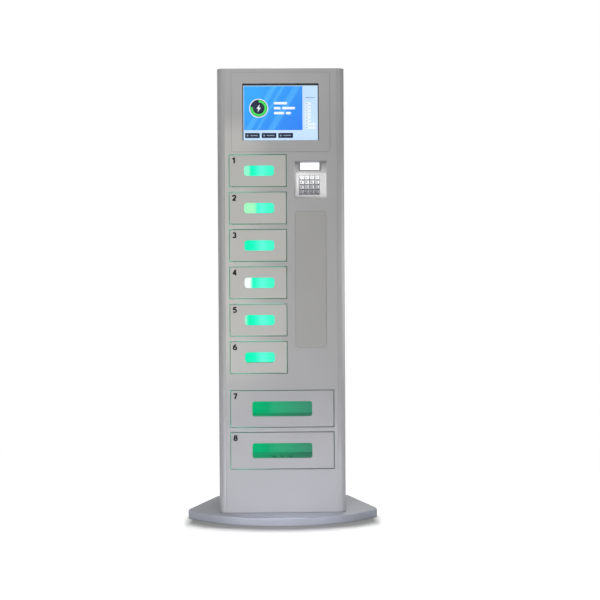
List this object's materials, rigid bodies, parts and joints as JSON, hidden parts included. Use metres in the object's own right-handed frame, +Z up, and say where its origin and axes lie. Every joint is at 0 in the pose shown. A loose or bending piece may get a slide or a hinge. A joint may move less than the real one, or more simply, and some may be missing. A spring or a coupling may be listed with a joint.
{
  "type": "phone charging locker",
  "caption": "Floor-standing phone locker: silver-grey sheet cabinet on a bowed base, windowed charging doors, screen and sunken metal keypad.",
  "frame": {"origin": "middle of the bounding box at floor level", "axes": "+Z up, the doors face -Y, +X to the right seen from the front"},
  "size_m": [0.752, 0.46, 1.78],
  "materials": {
    "body_paint": "satin silver-grey powder coat",
    "base_paint": "satin silver-grey powder coat on the base plate",
    "trim_paint": "satin silver-grey powder coat on laid-on plates",
    "liner_paint": "light grey powder coat",
    "clear_acrylic": "clear polished sheet",
    "screen_glass": "clear touch glass",
    "monitor_case": "matte black",
    "cast_housing": "satin die casting",
    "key_metal": "brushed key caps",
    "display_face": "backlit display window",
    "led_lens": "lit diffuser",
    "lock_case": "dark lock case",
    "lock_chrome": "polished key lock",
    "bolt_steel": "zinc plated bolt",
    "pin_steel": "zinc plated hardware",
    "electronics_case": "power supply case and relay board",
    "inlet_plastic": "matte black"
  },
  "bodies": {
    "cabinet": {"base_plate": "base_paint", "side_panels": "body_paint", "top_panel": "body_paint", "front_panel": "body_paint", "back_panel": "body_paint", "compartment_liner": "liner_paint", "door_hinges": "pin_steel", "lock_bodies": "lock_case", "led_strips": "led_lens", "screen_surround": "trim_paint", "touch_glass": "screen_glass", "monitor": "monitor_case", "monitor_brackets": "pin_steel", "keypad_housing": "cast_housing", "keypad_display": "display_face", "cover_plate": "trim_paint", "electronics": "electronics_case", "power_inlet": "inlet_plastic"},
    "door_1": {"door_1": "body_paint", "window_pane_1": "clear_acrylic"},
    "door_2": {"door_2": "body_paint", "window_pane_2": "clear_acrylic"},
    "door_3": {"door_3": "body_paint", "window_pane_3": "clear_acrylic"},
    "door_4": {"door_4": "body_paint", "window_pane_4": "clear_acrylic"},
    "door_5": {"door_5": "body_paint", "window_pane_5": "clear_acrylic"},
    "door_6": {"door_6": "body_paint", "window_pane_6": "clear_acrylic"},
    "door_7": {"door_7": "body_paint", "window_pane_7": "clear_acrylic"},
    "door_8": {"door_8": "body_paint", "window_pane_8": "clear_acrylic"},
    "rear_door": {"rear_door": "body_paint"},
    "rear_lock": {"rear_door_lock": "lock_chrome"},
    "bolt_1": {"lock_bolt_1": "bolt_steel"},
    "bolt_2": {"lock_bolt_2": "bolt_steel"},
    "bolt_3": {"lock_bolt_3": "bolt_steel"},
    "bolt_4": {"lock_bolt_4": "bolt_steel"},
    "bolt_5": {"lock_bolt_5": "bolt_steel"},
    "bolt_6": {"lock_bolt_6": "bolt_steel"},
    "bolt_7": {"lock_bolt_7": "bolt_steel"},
    "bolt_8": {"lock_bolt_8": "bolt_steel"},
    "key_1_1": {"key_1_1": "key_metal"},
    "key_1_2": {"key_1_2": "key_metal"},
    "key_1_3": {"key_1_3": "key_metal"},
    "key_1_4": {"key_1_4": "key_metal"},
    "key_2_1": {"key_2_1": "key_metal"},
    "key_2_2": {"key_2_2": "key_metal"},
    "key_2_3": {"key_2_3": "key_metal"},
    "key_2_4": {"key_2_4": "key_metal"},
    "key_3_1": {"key_3_1": "key_metal"},
    "key_3_2": {"key_3_2": "key_metal"},
    "key_3_3": {"key_3_3": "key_metal"},
    "key_3_4": {"key_3_4": "key_metal"},
    "key_4_1": {"key_4_1": "key_metal"},
    "key_4_2": {"key_4_2": "key_metal"},
    "key_4_3": {"key_4_3": "key_metal"},
    "key_4_4": {"key_4_4": "key_metal"}
  },
  "joints": [
    {"name": "door_1_swing", "type": "hinge", "parent": "cabinet", "child": "door_1", "pos_m": [-0.19275, -0.114, 1.37875], "axis": [0, 0, -1], "range_deg": [0, 110]},
    {"name": "door_2_swing", "type": "hinge", "parent": "cabinet", "child": "door_2", "pos_m": [-0.19275, -0.114, 1.23175], "axis": [0, 0, -1], "range_deg": [0, 110]},
    {"name": "door_3_swing", "type": "hinge", "parent": "cabinet", "child": "door_3", "pos_m": [-0.19275, -0.114, 1.08475], "axis": [0, 0, -1], "range_deg": [0, 110]},
    {"name": "door_4_swing", "type": "hinge", "parent": "cabinet", "child": "door_4", "pos_m": [-0.19275, -0.114, 0.93775], "axis": [0, 0, -1], "range_deg": [0, 110]},
    {"name": "door_5_swing", "type": "hinge", "parent": "cabinet", "child": "door_5", "pos_m": [-0.19275, -0.114, 0.79075], "axis": [0, 0, -1], "range_deg": [0, 110]},
    {"name": "door_6_swing", "type": "hinge", "parent": "cabinet", "child": "door_6", "pos_m": [-0.19275, -0.114, 0.64375], "axis": [0, 0, -1], "range_deg": [0, 110]},
    {"name": "door_7_swing", "type": "hinge", "parent": "cabinet", "child": "door_7", "pos_m": [-0.19275, -0.114, 0.44075], "axis": [0, 0, -1], "range_deg": [0, 110]},
    {"name": "door_8_swing", "type": "hinge", "parent": "cabinet", "child": "door_8", "pos_m": [-0.19275, -0.114, 0.27575], "axis": [0, 0, -1], "range_deg": [0, 110]},
    {"name": "rear_door_swing", "type": "hinge", "parent": "cabinet", "child": "rear_door", "pos_m": [0.186, 0.22, 0.91], "axis": [0, 0, -1], "range_deg": [0, 110]},
    {"name": "rear_lock_turn", "type": "hinge", "parent": "rear_door", "child": "rear_lock", "pos_m": [-0.176, 0.22, 0.91], "axis": [0, 1, 0], "range_deg": [0, 90]},
    {"name": "bolt_1_slide", "type": "slide", "parent": "cabinet", "child": "bolt_1", "axis": [-1, 0, 0], "range_m": [0, 0.008]},
    {"name": "bolt_2_slide", "type": "slide", "parent": "cabinet", "child": "bolt_2", "axis": [-1, 0, 0], "range_m": [0, 0.008]},
    {"name": "bolt_3_slide", "type": "slide", "parent": "cabinet", "child": "bolt_3", "axis": [-1, 0, 0], "range_m": [0, 0.008]},
    {"name": "bolt_4_slide", "type": "slide", "parent": "cabinet", "child": "bolt_4", "axis": [-1, 0, 0], "range_m": [0, 0.008]},
    {"name": "bolt_5_slide", "type": "slide", "parent": "cabinet", "child": "bolt_5", "axis": [-1, 0, 0], "range_m": [0, 0.008]},
    {"name": "bolt_6_slide", "type": "slide", "parent": "cabinet", "child": "bolt_6", "axis": [-1, 0, 0], "range_m": [0, 0.008]},
    {"name": "bolt_7_slide", "type": "slide", "parent": "cabinet", "child": "bolt_7", "axis": [-1, 0, 0], "range_m": [0, 0.008]},
    {"name": "bolt_8_slide", "type": "slide", "parent": "cabinet", "child": "bolt_8", "axis": [-1, 0, 0], "range_m": [0, 0.008]},
    {"name": "key_1_1_press", "type": "slide", "parent": "cabinet", "child": "key_1_1", "axis": [0, 0.9434, -0.3317], "range_m": [0, 0.0011], "stiffness_N_per_m": 400, "springref_m": -0.002},
    {"name": "key_1_2_press", "type": "slide", "parent": "cabinet", "child": "key_1_2", "axis": [0, 0.9434, -0.3317], "range_m": [0, 0.0011], "stiffness_N_per_m": 400, "springref_m": -0.002},
    {"name": "key_1_3_press", "type": "slide", "parent": "cabinet", "child": "key_1_3", "axis": [0, 0.9434, -0.3317], "range_m": [0, 0.0011], "stiffness_N_per_m": 400, "springref_m": -0.002},
    {"name": "key_1_4_press", "type": "slide", "parent": "cabinet", "child": "key_1_4", "axis": [0, 0.9434, -0.3317], "range_m": [0, 0.0011], "stiffness_N_per_m": 400, "springref_m": -0.002},
    {"name": "key_2_1_press", "type": "slide", "parent": "cabinet", "child": "key_2_1", "axis": [0, 0.9434, -0.3317], "range_m": [0, 0.0011], "stiffness_N_per_m": 400, "springref_m": -0.002},
    {"name": "key_2_2_press", "type": "slide", "parent": "cabinet", "child": "key_2_2", "axis": [0, 0.9434, -0.3317], "range_m": [0, 0.0011], "stiffness_N_per_m": 400, "springref_m": -0.002},
    {"name": "key_2_3_press", "type": "slide", "parent": "cabinet", "child": "key_2_3", "axis": [0, 0.9434, -0.3317], "range_m": [0, 0.0011], "stiffness_N_per_m": 400, "springref_m": -0.002},
    {"name": "key_2_4_press", "type": "slide", "parent": "cabinet", "child": "key_2_4", "axis": [0, 0.9434, -0.3317], "range_m": [0, 0.0011], "stiffness_N_per_m": 400, "springref_m": -0.002},
    {"name": "key_3_1_press", "type": "slide", "parent": "cabinet", "child": "key_3_1", "axis": [0, 0.9434, -0.3317], "range_m": [0, 0.0011], "stiffness_N_per_m": 400, "springref_m": -0.002},
    {"name": "key_3_2_press", "type": "slide", "parent": "cabinet", "child": "key_3_2", "axis": [0, 0.9434, -0.3317], "range_m": [0, 0.0011], "stiffness_N_per_m": 400, "springref_m": -0.002},
    {"name": "key_3_3_press", "type": "slide", "parent": "cabinet", "child": "key_3_3", "axis": [0, 0.9434, -0.3317], "range_m": [0, 0.0011], "stiffness_N_per_m": 400, "springref_m": -0.002},
    {"name": "key_3_4_press", "type": "slide", "parent": "cabinet", "child": "key_3_4", "axis": [0, 0.9434, -0.3317], "range_m": [0, 0.0011], "stiffness_N_per_m": 400, "springref_m": -0.002},
    {"name": "key_4_1_press", "type": "slide", "parent": "cabinet", "child": "key_4_1", "axis": [0, 0.9434, -0.3317], "range_m": [0, 0.0011], "stiffness_N_per_m": 400, "springref_m": -0.002},
    {"name": "key_4_2_press", "type": "slide", "parent": "cabinet", "child": "key_4_2", "axis": [0, 0.9434, -0.3317], "range_m": [0, 0.0011], "stiffness_N_per_m": 400, "springref_m": -0.002},
    {"name": "key_4_3_press", "type": "slide", "parent": "cabinet", "child": "key_4_3", "axis": [0, 0.9434, -0.3317], "range_m": [0, 0.0011], "stiffness_N_per_m": 400, "springref_m": -0.002},
    {"name": "key_4_4_press", "type": "slide", "parent": "cabinet", "child": "key_4_4", "axis": [0, 0.9434, -0.3317], "range_m": [0, 0.0011], "stiffness_N_per_m": 400, "springref_m": -0.002}
  ]
}
